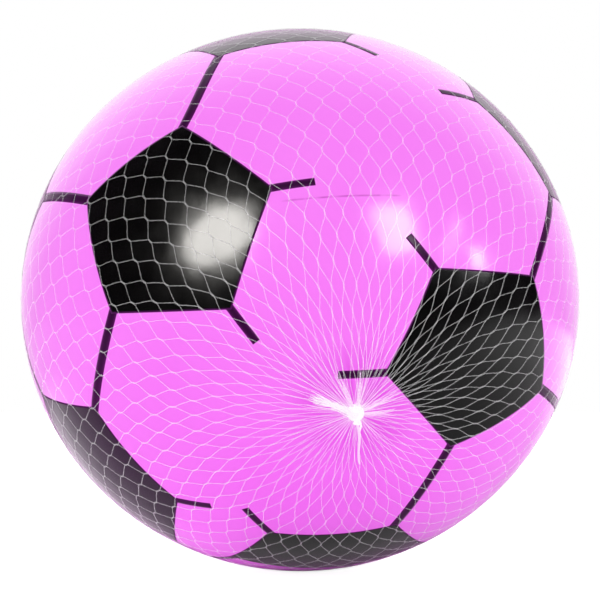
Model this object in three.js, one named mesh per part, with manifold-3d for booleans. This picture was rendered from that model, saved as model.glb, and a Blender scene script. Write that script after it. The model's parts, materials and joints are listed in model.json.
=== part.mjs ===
// Inflated play ball with a soft vinyl skin, closed by a push-in valve and packed in a gathered net.
// Units are millimetres and +Z is up. The origin is the middle of the ball, and -Y is its front.

import * as THREE from 'three';
import { mergeVertices } from 'three/addons/utils/BufferGeometryUtils.js';
import Module from 'manifold-3d';

// Ball skin
const ballWidth = 220;
const ballHeight = 214;
const skinThickness = 0.55;
const skinDetail = 8;

// Clearances between pieces that touch on the real ball
const fitGap = 0.3;
const layGap = 0.35;

// Valve: where it sits, then its seat and its plug
const valveAzimuth = 24;
const valveElevation = 10;
const valveHoleRadius = 5.3;
const bossRadius = 11;
const bossDepth = 2.4;
const seatRecess = 0.15;
const seatFlangeRadius = 9.5;
const seatFlangeThickness = 1.4;
const seatFlangeChamfer = 0.4;
const seatNippleRadius = 4.6;
const seatNippleTaper = 0.6;
const seatLength = 13;
const plugHeadRadius = 4;
const plugHeadThickness = 1.3;
const plugHeadSink = 0.9;
const plugHeadBevel = 0.4;
const plugDimpleRadius = 1.8;
const plugDimpleDepth = 0.3;
const plugStemRadius = 2;
const plugStemTaper = 0.3;
const plugStemLength = 9;
const plugTipBevel = 0.8;
const valveSegments = 28;

// Net: hexagonal mesh with its pillars along the meridians of the gathers' axis
const gatherDirection = new THREE.Vector3(0.176, -0.913, -0.367).normalize();
const cellsRound = 18;
const pillarLength = 4.5;
const legAngleAtGirth = 35;
const strandWidth = 1;
const strandThickness = 0.8;
const lastRowReach = 20;

// Gathers: the bunched mesh at each end of the net, its neck and the loose tuft past the tie
const bunchRadius = 3.6;
const bunchHeight = 1.1;
const neckRadius = 1.3;
const tuftLength = 17;
const tuftHalfWidth = 2.2;
const tuftHalfThickness = 0.8;
const tuftRise = 2;
const tuftBendShare = 0.35;
const tuftRings = 6;
const gatherSegments = 16;

// Ties: a thread looped round each neck, knotted, with one short end
const tieThreadRadius = 0.4;
const tieKnotRadius = 1.1;
const tieTailLength = 18;
const tailDropShare = 0.3;
const tailRestShare = 0.6;
const tailSteps = 8;
const threadSegments = 8;
const knotSegments = 10;

const wasm = await Module();
wasm.setup();

// A closed solid from a geometry whose shared corners are merged.
function toSolid(geometry) {
  const bare = geometry.clone();
  bare.deleteAttribute('normal');
  bare.deleteAttribute('uv');
  const merged = mergeVertices(bare, 1e-4);
  const mesh = new wasm.Mesh({
    numProp: 3,
    vertProperties: new Float32Array(merged.attributes.position.array),
    triVerts: new Uint32Array(merged.index.array),
  });
  return new wasm.Manifold(mesh);
}

function toGeometry(solid) {
  const mesh = solid.getMesh();
  const geometry = new THREE.BufferGeometry();
  geometry.setAttribute('position', new THREE.BufferAttribute(new Float32Array(mesh.vertProperties), 3));
  geometry.setIndex(new THREE.BufferAttribute(new Uint32Array(mesh.triVerts), 1));
  geometry.computeVertexNormals();
  return geometry;
}

// A revolved closed profile of [radius, height] pairs, turned about +Z.
function revolve(profile, segments) {
  const points = profile.map(([radius, height]) => new THREE.Vector2(radius, height));
  return new THREE.LatheGeometry(points, segments).rotateX(Math.PI / 2);
}

function piece(name, geometry, color, roughness) {
  const mesh = new THREE.Mesh(geometry, new THREE.MeshStandardMaterial({ color, roughness, metalness: 0 }));
  mesh.name = name;
  return mesh;
}

// The ball's surface: a unit direction stretched to the ball's width and height.
const halfWidth = ballWidth / 2;
const halfHeight = ballHeight / 2;
const tightestRadius = Math.min(halfHeight ** 2 / halfWidth, halfWidth);

function onBall(direction) {
  return new THREE.Vector3(direction.x * halfWidth, direction.y * halfWidth, direction.z * halfHeight);
}

function outwards(direction) {
  const normal = new THREE.Vector3(direction.x / halfWidth, direction.y / halfWidth, direction.z / halfHeight);
  return normal.normalize();
}

// A frame that stands on the ball: +Z outwards, +Y up the ball, +X to the right seen from outside.
function standOnBall(direction) {
  const out = outwards(direction);
  const right = new THREE.Vector3(0, 0, 1).cross(out).normalize();
  const up = out.clone().cross(right);
  return new THREE.Matrix4().makeBasis(right, up, out).setPosition(onBall(direction));
}

// How far a straight strand of a given length dips between its ends over the ball's curve.
function chordDip(length) {
  return length ** 2 / (8 * tightestRadius);
}

// Height of a point over the ball, in a frame that stands on it.
function overBall(x, y, height) {
  return new THREE.Vector3(x, y, height - (x ** 2 + y ** 2) / (2 * tightestRadius));
}

// Ball skin: a thin hollow shell, thickened inside round the valve hole.
const azimuth = THREE.MathUtils.degToRad(valveAzimuth);
const elevation = THREE.MathUtils.degToRad(valveElevation);
const valveDirection = new THREE.Vector3(
  Math.cos(elevation) * Math.cos(azimuth),
  Math.cos(elevation) * Math.sin(azimuth),
  Math.sin(elevation),
);
const valveFrame = standOnBall(valveDirection);

function ballForm(inset) {
  const form = new THREE.IcosahedronGeometry(1, skinDetail);
  return toSolid(form.scale(halfWidth - inset, halfWidth - inset, halfHeight - inset));
}

// A round bar on the valve's axis, from a depth inside the ball to clear of its surface.
function valveBar(radius, depth) {
  const proud = valveHoleRadius;
  const bar = new THREE.CylinderGeometry(radius, radius, depth + proud, valveSegments);
  bar.rotateX(Math.PI / 2).translate(0, 0, (proud - depth) / 2);
  return toSolid(bar.applyMatrix4(valveFrame));
}

function ballShell() {
  const hollow = ballForm(skinThickness).subtract(valveBar(bossRadius, bossDepth));
  const skin = ballForm(0).subtract(hollow);
  return toGeometry(skin.subtract(valveBar(valveHoleRadius, bossDepth + skinThickness)));
}

// Valve seat: a soft flanged bush whose collar fills the hole and whose flange lies on the boss.
const faceHeight = -seatRecess;
const floorHeight = faceHeight - plugHeadSink;
const plugShoulder = floorHeight + fitGap;
const stemEnd = plugShoulder - plugStemLength;

// Radius of the tapered stem at a height, which the seat's bore follows at the fit gap.
function stemRadius(height) {
  return plugStemRadius - plugStemTaper * (plugShoulder - height) / plugStemLength;
}

function valveSeat() {
  const collar = valveHoleRadius - fitGap;
  const pocket = plugHeadRadius + fitGap;
  const flangeTop = -bossDepth - fitGap;
  const flangeBottom = flangeTop - seatFlangeThickness;
  const seatEnd = flangeBottom - seatLength + seatFlangeThickness + bossDepth;
  return revolve([
    [stemRadius(floorHeight) + fitGap, floorHeight],
    [stemRadius(seatEnd) + fitGap, seatEnd],
    [seatNippleRadius - seatNippleTaper, seatEnd],
    [seatNippleRadius, flangeBottom],
    [seatFlangeRadius - seatFlangeChamfer, flangeBottom],
    [seatFlangeRadius, flangeBottom + seatFlangeChamfer],
    [seatFlangeRadius, flangeTop],
    [collar, flangeTop],
    [collar, faceHeight],
    [pocket, faceHeight],
    [pocket, floorHeight],
    [stemRadius(floorHeight) + fitGap, floorHeight],
  ], valveSegments);
}

// Valve plug: a tapered stopper with a flat head that lies in the seat's pocket.
function valvePlug() {
  const headTop = plugShoulder + plugHeadThickness;
  return revolve([
    [0, stemEnd],
    [stemRadius(stemEnd) - plugTipBevel / 2, stemEnd],
    [stemRadius(stemEnd + plugTipBevel), stemEnd + plugTipBevel],
    [plugStemRadius, plugShoulder],
    [plugHeadRadius - plugHeadBevel / 2, plugShoulder],
    [plugHeadRadius, plugShoulder + plugHeadBevel / 2],
    [plugHeadRadius, headTop - plugHeadBevel],
    [plugHeadRadius - plugHeadBevel, headTop],
    [plugDimpleRadius, headTop],
    [0, headTop - plugDimpleDepth],
  ], valveSegments);
}

// Net: rows of pillars joined by slanting legs. One row's gaps are centred on the valve, so that the
// plug can be reached, and the other rows follow from it towards each gather.
const halfCell = Math.PI * halfWidth / cellsRound;
const legLength = halfCell / Math.cos(THREE.MathUtils.degToRad(legAngleAtGirth));
const legDip = chordDip(legLength);
const netHeight = layGap + legDip;
const valveTurn = gatherDirection.angleTo(valveDirection);
const netRight = valveDirection.clone().addScaledVector(gatherDirection, -Math.cos(valveTurn)).normalize();
const netUp = netRight.clone().cross(gatherDirection);

// Direction of a point of the net: its angle from the front gather and its turn round that axis.
function netDirection(fromGather, turn) {
  return gatherDirection.clone().multiplyScalar(Math.cos(fromGather))
    .addScaledVector(netRight, Math.sin(fromGather) * Math.cos(turn))
    .addScaledVector(netUp, Math.sin(fromGather) * Math.sin(turn));
}

// A leg keeps its length, so it rises more steeply where the cells are narrower.
function legRise(fromGather) {
  return Math.sqrt(legLength ** 2 - (halfCell * Math.sin(fromGather)) ** 2);
}

function nextRow(fromGather, side) {
  const guess = fromGather + side * (pillarLength + legRise(fromGather)) / (2 * halfWidth);
  return fromGather + side * (pillarLength + legRise(guess)) / halfWidth;
}

function rowsOnSide(side) {
  const rows = [];
  const nearest = lastRowReach / halfWidth;
  let row = nextRow(valveTurn, side);
  while (row > nearest && row < Math.PI - nearest) {
    rows.push(row);
    row = nextRow(row, side);
  }
  return rows;
}

const frontRows = rowsOnSide(-1).reverse();
const rowMiddles = [...frontRows, valveTurn, ...rowsOnSide(1)];
const valveRow = frontRows.length;
const lastRow = rowMiddles.length - 1;
const halfPillar = pillarLength / 2 / halfWidth;
const strandEnd = (bunchRadius - strandWidth / 2) / halfWidth;

// The strands next to a gather climb to its bunch, so that they clear the ball between their ends.
function gatherHeight(span) {
  return layGap + Math.max(legDip, 2 * chordDip(span * halfWidth) - legDip);
}

const frontHeight = gatherHeight(rowMiddles[0] + halfPillar - strandEnd);
const rearHeight = gatherHeight(Math.PI - rowMiddles[lastRow] + halfPillar - strandEnd);

// Corners of one end of a pillar: the meeting point's three sides, each as an outer and an inner corner.
// ends lists the unit directions of the strands that meet there, in turn round the point.
function junctionCorners(direction, height, ends) {
  const base = onBall(direction);
  const out = outwards(direction);
  return ends.map((first, i) => {
    const second = ends[(i + 1) % ends.length];
    const spread = first.clone().cross(second).length();
    const side = first.clone().add(second).multiplyScalar(strandWidth / 2 / spread);
    const foot = base.clone().add(side);
    return {
      inner: foot.clone().addScaledVector(out, height),
      outer: foot.clone().addScaledVector(out, height + strandThickness),
    };
  });
}

// The two sides of a strand's cut end, left and right of its direction of travel round the net.
function cutCorners(direction, height, turn) {
  const base = onBall(direction);
  const out = outwards(direction);
  const across = netUp.clone().multiplyScalar(Math.cos(turn)).addScaledVector(netRight, -Math.sin(turn));
  return [-1, 1].map((side) => {
    const foot = base.clone().addScaledVector(across, side * strandWidth / 2);
    return {
      inner: foot.clone().addScaledVector(out, height),
      outer: foot.clone().addScaledVector(out, height + strandThickness),
    };
  });
}

function netMesh() {
  const positions = [];
  const triangles = [];

  function add(corner) {
    if (corner.index === undefined) {
      corner.index = positions.length / 3;
      positions.push(...corner.inner.toArray(), ...corner.outer.toArray());
    }
    return corner.index;
  }

  // A strand between two junctions, from its left and right corners at each end.
  function strand(leftStart, rightStart, leftEnd, rightEnd) {
    const [a, b, c, d] = [leftStart, rightStart, rightEnd, leftEnd].map(add);
    triangles.push(a + 1, b + 1, c + 1, a + 1, c + 1, d + 1);
    triangles.push(a, c, b, a, d, c);
    triangles.push(b, c, c + 1, b, c + 1, b + 1);
    triangles.push(d, a, a + 1, d, a + 1, d + 1);
  }

  function knit(corners) {
    const [a, b, c] = corners.map(add);
    triangles.push(a + 1, b + 1, c + 1, a, c, b);
  }

  function cap(left, right) {
    const [a, b] = [left, right].map(add);
    triangles.push(a, b, b + 1, a, b + 1, a + 1);
  }

  const turnOf = (row, column) => (2 * column + 1 + Math.abs(row - valveRow) % 2) * Math.PI / cellsRound;
  const towards = (from, to) => onBall(to).sub(onBall(from)).normalize();

  // Each pillar has a front end and a rear end, with corners [left, right, between the legs].
  const pillars = rowMiddles.map((middle, row) => Array.from({ length: cellsRound }, (_, column) => {
    const turn = turnOf(row, column);
    const isFirst = row === 0;
    const isLast = row === lastRow;
    const front = netDirection(isFirst ? strandEnd : middle - halfPillar, turn);
    const rear = netDirection(isLast ? Math.PI - strandEnd : middle + halfPillar, turn);
    const leftTurn = turn - Math.PI / cellsRound;
    const rightTurn = turn + Math.PI / cellsRound;
    const along = towards(front, rear);
    const back = along.clone().negate();
    let frontCorners;
    if (isFirst) {
      frontCorners = cutCorners(front, frontHeight, turn);
    } else {
      const reach = rowMiddles[row - 1] + halfPillar;
      const left = towards(front, netDirection(reach, leftTurn));
      const right = towards(front, netDirection(reach, rightTurn));
      const [onLeft, between, onRight] = junctionCorners(front, netHeight, [along, left, right]);
      frontCorners = [onLeft, onRight, between];
    }
    let rearCorners;
    if (isLast) {
      rearCorners = cutCorners(rear, rearHeight, turn);
    } else {
      const reach = rowMiddles[row + 1] - halfPillar;
      const left = towards(rear, netDirection(reach, leftTurn));
      const right = towards(rear, netDirection(reach, rightTurn));
      const [onLeft, between, onRight] = junctionCorners(rear, netHeight, [back, left, right]);
      rearCorners = [onLeft, onRight, between];
    }
    return { frontCorners, rearCorners };
  }));

  pillars.forEach((row, rowIndex) => row.forEach((pillar, column) => {
    const [frontLeft, frontRight, frontBetween] = pillar.frontCorners;
    const [rearLeft, rearRight, rearBetween] = pillar.rearCorners;
    strand(frontLeft, frontRight, rearLeft, rearRight);
    if (frontBetween) {
      knit([frontLeft, frontBetween, frontRight]);
    } else {
      cap(frontLeft, frontRight);
    }
    if (!rearBetween) {
      cap(rearRight, rearLeft);
      return;
    }
    knit([rearLeft, rearRight, rearBetween]);
    const shifted = Math.abs(rowIndex - valveRow) % 2;
    const next = pillars[rowIndex + 1];
    const onLeft = next[(column + shifted + cellsRound - 1) % cellsRound].frontCorners;
    const onRight = next[(column + shifted) % cellsRound].frontCorners;
    strand(rearLeft, rearBetween, onLeft[2], onLeft[1]);
    strand(rearBetween, rearRight, onRight[0], onRight[2]);
  }));

  const geometry = new THREE.BufferGeometry();
  geometry.setAttribute('position', new THREE.Float32BufferAttribute(positions, 3));
  geometry.setIndex(triangles);
  return geometry;
}

// Gather: the bunch where the strands meet, the neck that the tie holds, and the tuft that lies over.
const tieRingRadius = neckRadius + fitGap + tieThreadRadius;

function neckTop(height) {
  return height + strandThickness + bunchHeight + 2 * (tieThreadRadius + fitGap);
}

function bunch(height) {
  const shoulder = height + strandThickness;
  return revolve([
    [0, height],
    [bunchRadius, height],
    [bunchRadius, shoulder],
    [neckRadius, shoulder + bunchHeight],
    [neckRadius, neckTop(height)],
    [0, neckTop(height) + neckRadius],
  ], gatherSegments);
}

// A tapered tuft along a curve that rises from the neck and then lies down over the ball.
function tuft(height, bearing) {
  const side = new THREE.Vector3(-Math.sin(bearing), Math.cos(bearing), 0);
  const reach = (share, lift) => overBall(
    tuftLength * share * Math.cos(bearing), tuftLength * share * Math.sin(bearing), lift);
  const top = neckTop(height);
  const tuftRoot = neckRadius - fitGap;
  const path = new THREE.CubicBezierCurve3(
    reach(0, top),
    reach(0, top + tuftRise),
    reach(tuftBendShare, top + tuftRise),
    reach(1, top - tieThreadRadius),
  );
  const rings = Array.from({ length: tuftRings }, (_, ring) => {
    const share = ring / (tuftRings - 1);
    const middle = path.getPoint(share);
    const across = path.getTangent(share).cross(side);
    const width = tuftRoot + (tuftHalfWidth - tuftRoot) * Math.sin(share * Math.PI / 2);
    const thickness = tuftRoot + (tuftHalfThickness - tuftRoot) * share;
    return Array.from({ length: gatherSegments }, (_, i) => {
      const turn = 2 * Math.PI * i / gatherSegments;
      return middle.clone()
        .addScaledVector(side, width * Math.cos(turn))
        .addScaledVector(across, thickness * Math.sin(turn));
    });
  });
  return loft(rings);
}

// A closed body through rings of points, each end closed by a fan.
function loft(rings) {
  const count = rings[0].length;
  const points = rings.flat();
  const triangles = [];
  for (let ring = 0; ring < rings.length - 1; ring += 1) {
    for (let i = 0; i < count; i += 1) {
      const a = ring * count + i;
      const b = ring * count + (i + 1) % count;
      triangles.push(a, b, b + count, a, b + count, a + count);
    }
  }
  for (let i = 1; i < count - 1; i += 1) {
    const end = (rings.length - 1) * count;
    triangles.push(0, i + 1, i, end, end + i, end + i + 1);
  }
  const geometry = new THREE.BufferGeometry().setFromPoints(points);
  geometry.setIndex(triangles);
  return geometry;
}

const gathers = {
  front: { direction: gatherDirection, height: frontHeight, tuftBearing: 161, tailBearing: -86 },
  rear: { direction: gatherDirection.clone().negate(), height: rearHeight, tuftBearing: 40, tailBearing: -100 },
};

function netSleeve() {
  const ends = Object.values(gathers).map((gather) => {
    const bearing = THREE.MathUtils.degToRad(gather.tuftBearing);
    const end = toSolid(bunch(gather.height)).add(toSolid(tuft(gather.height, bearing)));
    return end.transform(standOnBall(gather.direction).toArray());
  });
  return toGeometry(ends.reduce((net, end) => net.add(end), toSolid(netMesh())));
}

// Tie: a thread looped round the neck, with its knot at the side and one end lying over the net.
function tie(gather) {
  const bearing = THREE.MathUtils.degToRad(gather.tailBearing);
  const ringHeight = gather.height + strandThickness + bunchHeight + fitGap + tieThreadRadius;
  const ring = new THREE.TorusGeometry(tieRingRadius, tieThreadRadius, threadSegments, gatherSegments);
  ring.translate(0, 0, ringHeight);
  const knotReach = tieRingRadius + tieKnotRadius;
  const alongTail = (distance, height) => overBall(
    distance * Math.cos(bearing), distance * Math.sin(bearing), height);
  const knot = new THREE.SphereGeometry(tieKnotRadius, knotSegments, threadSegments);
  knot.translate(...alongTail(knotReach, ringHeight).toArray());
  const restHeight = Math.max(gather.height, netHeight) + strandThickness + layGap + tieThreadRadius;
  const route = new THREE.CatmullRomCurve3([
    alongTail(knotReach, ringHeight),
    alongTail(knotReach + tieTailLength * tailDropShare, (ringHeight + restHeight) / 2),
    alongTail(knotReach + tieTailLength * tailRestShare, restHeight),
    alongTail(knotReach + tieTailLength, restHeight),
  ]);
  const section = new THREE.Shape().absarc(0, 0, tieThreadRadius, 0, 2 * Math.PI);
  const tail = new THREE.ExtrudeGeometry(section, {
    extrudePath: route, steps: tailSteps, curveSegments: threadSegments / 2, bevelEnabled: false,
  });
  return toGeometry(toSolid(ring).add(toSolid(knot)).add(toSolid(tail)));
}

// Assembly
const ball = new THREE.Group();
ball.add(piece('ball_shell', ballShell(), 0xf98af9, 0.3));

const valve = new THREE.Group();
valve.applyMatrix4(valveFrame);
valve.add(piece('valve_seat', valveSeat(), 0xf3c6f3, 0.45));
valve.add(piece('valve_plug', valvePlug(), 0xf4eef4, 0.4));
ball.add(valve);

ball.add(piece('net_sleeve', netSleeve(), 0xf2f0f2, 0.5));

Object.entries(gathers).forEach(([end, gather]) => {
  const place = new THREE.Group();
  place.applyMatrix4(standOnBall(gather.direction));
  place.add(piece(`${end}_tie`, tie(gather), 0xf6f4f6, 0.55));
  ball.add(place);
});

export default ball;
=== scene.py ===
import json

import bmesh
import bpy
import numpy as np
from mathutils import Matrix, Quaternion, Vector


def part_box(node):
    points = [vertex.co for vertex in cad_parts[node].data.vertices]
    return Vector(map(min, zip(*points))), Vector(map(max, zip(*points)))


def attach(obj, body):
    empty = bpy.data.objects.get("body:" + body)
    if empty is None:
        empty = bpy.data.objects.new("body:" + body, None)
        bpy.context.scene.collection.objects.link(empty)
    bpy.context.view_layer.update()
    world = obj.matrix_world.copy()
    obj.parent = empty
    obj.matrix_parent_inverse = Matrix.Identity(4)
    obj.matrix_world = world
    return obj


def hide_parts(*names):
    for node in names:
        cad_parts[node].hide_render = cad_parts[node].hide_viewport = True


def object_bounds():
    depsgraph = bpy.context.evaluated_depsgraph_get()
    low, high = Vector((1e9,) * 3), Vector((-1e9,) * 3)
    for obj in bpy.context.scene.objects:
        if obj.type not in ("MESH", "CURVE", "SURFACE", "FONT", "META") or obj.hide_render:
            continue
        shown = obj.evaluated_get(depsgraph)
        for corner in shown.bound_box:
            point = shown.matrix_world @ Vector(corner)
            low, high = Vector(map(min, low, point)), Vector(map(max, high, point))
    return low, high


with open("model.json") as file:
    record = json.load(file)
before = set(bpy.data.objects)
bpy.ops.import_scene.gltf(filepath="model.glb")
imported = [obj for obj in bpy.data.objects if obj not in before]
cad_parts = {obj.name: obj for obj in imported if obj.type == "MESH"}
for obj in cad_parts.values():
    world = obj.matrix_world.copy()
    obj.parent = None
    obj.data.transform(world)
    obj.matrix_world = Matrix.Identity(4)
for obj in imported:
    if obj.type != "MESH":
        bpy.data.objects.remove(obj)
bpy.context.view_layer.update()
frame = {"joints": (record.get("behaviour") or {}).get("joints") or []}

# Ball skin: a bladder of soft pink vinyl, cast in a hollow mould as one closed wall. The hole for
# the valve is moulded in it, with a rounded lip and a thicker boss round it on the inside.
skin_low, skin_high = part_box("ball_shell")
HALF_AXES = (np.array(skin_high) - np.array(skin_low)) / 2
BALL_RADIUS = HALF_AXES.mean()
VALVE_AXIS = np.array(frame["joints"][0]["axis"])
SKIN_WALL = 0.00055
HOLE_RADIUS = 0.0053
LIP_RADIUS = 0.0004
BOSS_RADIUS = 0.011
BOSS_DEPTH = 0.0024
SKIN_COLUMNS = 288
OUTER_RINGS = 144
INNER_RINGS = 60
LIP_RINGS = 5
WELD_DISTANCE = 1e-7
VINYL_PINK = (0.875, 0.190, 0.875, 1)
# Deeper pink, for random clouds and for painted shade towards the lower front
VINYL_CLOUDED_AND_SHADED = (0.825, 0.122, 0.825, 1)
LOW_SHADE_TOWARDS = (0.02, -0.64, -0.77)
LOW_SHADE_RAMP = (0.06, 0.12, 0, 0.9)
PINK_CLOUDS = (16, -0.1, 0.1, 3)
PARTING_PINK = (0.48, 0.06, 0.46, 1)
PARTING_NORMAL = (-0.105, 0.322, 0.941)
PARTING_MIDDLE = (0.139, -0.932, 0.335)
PARTING_RAMP = (0, 0.0005, 1, 0)
PARTING_ARC_RAMP = (0.1072, 0.1079, 0, 1)
PARTING_BREAKS = (220, 0.25, 1, 2, (0.35, 0.6))
GATHER_TOWARDS = (0.176, -0.913, -0.367)
# Painted shade of the crowded threads near the net's two ends: its colour, its ramp along their axis and its
# streak clouds
VINYL_THREAD_SHADE = (0.71, 0.062, 0.71, 1)
THREAD_SHADE_RAMP = (0.1062, 0.1093, 0, 1)
THREAD_SHADE_STREAKS = (8, 0.35, 1, 2, (0.35, 0.65))
VINYL_ROUGHNESS = (60, 0.15, 0.21, 4)
VINYL_GRAIN = 700
SHEEN_RAMP = (-0.104, 0.06, 0.02, 0.80)
SHEEN_ROUGHNESS = 0.40
SHEEN_PINK = (1.0, 0.85, 1.0, 1)
DENTS = 75
DENT_DEPTH = 0.0002
GRAIN_SHARE = 0.04


def unit(vectors):
    """Each vector divided by its own length."""
    return vectors / np.linalg.norm(vectors, axis=-1, keepdims=True)


def on_ball(directions, lift=0.0):
    """Points over the ball. A direction is made unit and multiplied by the half axes, and the point then
    moves by lift along the normal, which is the direction divided by the half axes."""
    directions = unit(directions)
    normals = unit(directions / HALF_AXES)
    return directions * HALF_AXES + normals * np.asarray(lift)[..., None]


def square_to(axis):
    """Two unit vectors square to an axis that leaves the ball: right as seen from outside, and up."""
    right = unit(np.cross((0.0, 0.0, 1.0), axis))
    return right, np.cross(axis, right)


def bearing_at(axis, turn):
    """Directions square to an axis, at a turn counted from the right."""
    right, up = square_to(axis)
    return right * np.cos(turn)[..., None] + up * np.sin(turn)[..., None]


def around(axis, reach, turn):
    """Directions at an angle reach from an axis, on the bearing at a turn: the axis times the cosine of
    reach, and the bearing times its sine."""
    return axis * np.cos(reach)[..., None] + bearing_at(axis, turn) * np.sin(reach)[..., None]


def ring_faces(rows, columns, closed=True):
    """Quads between neighbouring rings of points, each ring closing on itself, or between open rows."""
    corner = np.arange(rows * columns).reshape(rows, columns)
    beside = np.roll(corner, -1, axis=1)
    quads = np.stack((corner[:-1], beside[:-1], beside[1:], corner[1:]), axis=-1)
    return (quads if closed else quads[:, :-1]).reshape(-1, 4)


def weld(mesh):
    """Points that lie on each other become one, which closes the rings that shrink to a point."""
    shape = bmesh.new()
    shape.from_mesh(mesh)
    bmesh.ops.remove_doubles(shape, verts=shape.verts, dist=WELD_DISTANCE)
    shape.to_mesh(mesh)
    shape.free()


def add_piece(name, points, faces, material, closed=False):
    """A smooth mesh object at the origin, welded if some of its rings close to a point."""
    mesh = bpy.data.meshes.new(name)
    corners = [face for group in faces for face in group.tolist()]
    mesh.from_pydata(points.reshape(-1, 3).tolist(), [], corners)
    if closed:
        weld(mesh)
    mesh.shade_smooth()
    mesh.materials.append(material)
    piece = bpy.data.objects.new(name, mesh)
    bpy.context.scene.collection.objects.link(piece)
    return piece


def new_material(name):
    """A node material: itself, its shader and the Object coordinates for its patterns."""
    material = bpy.data.materials.new(name)
    material.use_nodes = True
    nodes = material.node_tree.nodes
    return material, nodes["Principled BSDF"], nodes.new("ShaderNodeTexCoord").outputs["Object"]


def feed(made, inputs):
    """Each input of a node takes a value, or a link where it is given another node's output."""
    for key, value in inputs.items():
        if isinstance(value, bpy.types.NodeSocket):
            made.id_data.links.new(value, made.inputs[key])
        else:
            made.inputs[key].default_value = value


def add_node(tree, kind, inputs, **options):
    """A shader node with its options and inputs. The helpers below take its tree from an output they get."""
    made = tree.nodes.new(kind)
    for option, choice in options.items():
        setattr(made, option, choice)
    feed(made, inputs)
    return made


def noise(place, scale, detail=2.0):
    """Cloudy noise from 0 to 1, whose patches are about one part in scale of a metre wide."""
    made = add_node(place.id_data, "ShaderNodeTexNoise", {"Vector": place, "Scale": scale, "Detail": detail})
    return made.outputs["Fac"]


def remap(value, low, high, to_low, to_high):
    """A value carried from one range to another and held at the ends. Ramps are named by these four."""
    ends = {"Value": value, "From Min": low, "From Max": high, "To Min": to_low, "To Max": to_high}
    return add_node(value.id_data, "ShaderNodeMapRange", ends).outputs["Result"]


def clouds(place, scale, low, high, detail=2.0, spread=(0.3, 0.7)):
    """Cloudy noise that goes from low to high over its spread, and is held there past it. Clouds are named by
    these values, in this order."""
    return remap(noise(place, scale, detail), *spread, low, high)


def blend(share, first, second):
    """The colour that lies between two colours at a share from 0 to 1."""
    ends = {0: share, 6: first, 7: second}
    return add_node(share.id_data, "ShaderNodeMix", ends, data_type="RGBA").outputs[2]


def calculate(operation, first, second=0.0):
    """One sum on two numbers."""
    terms = {0: first, 1: second}
    return add_node(first.id_data, "ShaderNodeMath", terms, operation=operation).outputs["Value"]


def product(first, *others):
    """Several numbers multiplied."""
    for other in others:
        first = calculate("MULTIPLY", first, other)
    return first


def on_vectors(operation, first, second=(0, 0, 0)):
    """The results of one sum on two vectors."""
    terms = {0: first, 1: second}
    return add_node(first.id_data, "ShaderNodeVectorMath", terms, operation=operation).outputs


def distance_along(place, direction):
    """How far a place lies along a direction from the middle of the ball."""
    return on_vectors("DOT_PRODUCT", place, direction)["Value"]


def bump(shader, height, depth):
    """A relief on the shader's normal, from a height of 0 to 1 times a depth in metres."""
    made = add_node(height.id_data, "ShaderNodeBump", {"Height": height, "Distance": depth})
    feed(shader, {"Normal": made.outputs["Normal"]})


def skin_relief(shader, place, grain):
    """The soft dents of the skin, with a fine grain on them."""
    fine = product(noise(place, grain, 3), GRAIN_SHARE)
    bump(shader, calculate("ADD", fine, noise(place, DENTS, 1)), DENT_DEPTH)


def pink_vinyl():
    """Pink with random cloudy depth and a fine cast grain, deepened towards the lower front by painted shade.
    It has painted shade in streaks under the crowded threads at the net's two ends, by the distance along
    their axis and noise of the bearing round it. It is darker too along the mould's parting line, within
    its width of a plane and near the middle of its arc, broken by noise. The pale sheen of the rim fades
    out towards the foot."""
    material, shader, place = new_material("pink_vinyl")
    # Painted shade that deepens the pink towards the lower front
    low_shade = remap(distance_along(place, LOW_SHADE_TOWARDS), *LOW_SHADE_RAMP)
    cloud = clouds(place, *PINK_CLOUDS)
    pink = blend(calculate("ADD", low_shade, cloud), VINYL_PINK, VINYL_CLOUDED_AND_SHADED)
    along = calculate("ABSOLUTE", distance_along(place, GATHER_TOWARDS))
    bearing = on_vectors("CROSS_PRODUCT", place, GATHER_TOWARDS)["Vector"]
    bearing = on_vectors("NORMALIZE", bearing)["Vector"]
    streak = clouds(bearing, *THREAD_SHADE_STREAKS)
    # Painted shade in streaks under the crowded threads near the gathers
    thread_shade = product(remap(along, *THREAD_SHADE_RAMP), streak)
    pink = blend(thread_shade, pink, VINYL_THREAD_SHADE)
    line = remap(calculate("ABSOLUTE", distance_along(place, PARTING_NORMAL)), *PARTING_RAMP)
    arc = remap(distance_along(place, PARTING_MIDDLE), *PARTING_ARC_RAMP)
    parting = product(line, arc, clouds(place, *PARTING_BREAKS))
    feed(shader, {
        "Base Color": blend(parting, pink, PARTING_PINK),
        "Roughness": clouds(place, *VINYL_ROUGHNESS),
        "Sheen Weight": remap(distance_along(place, (0, 0, 1)), *SHEEN_RAMP),
        "Sheen Roughness": SHEEN_ROUGHNESS,
        "Sheen Tint": SHEEN_PINK,
    })
    skin_relief(shader, place, VINYL_GRAIN)
    return material


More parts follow.
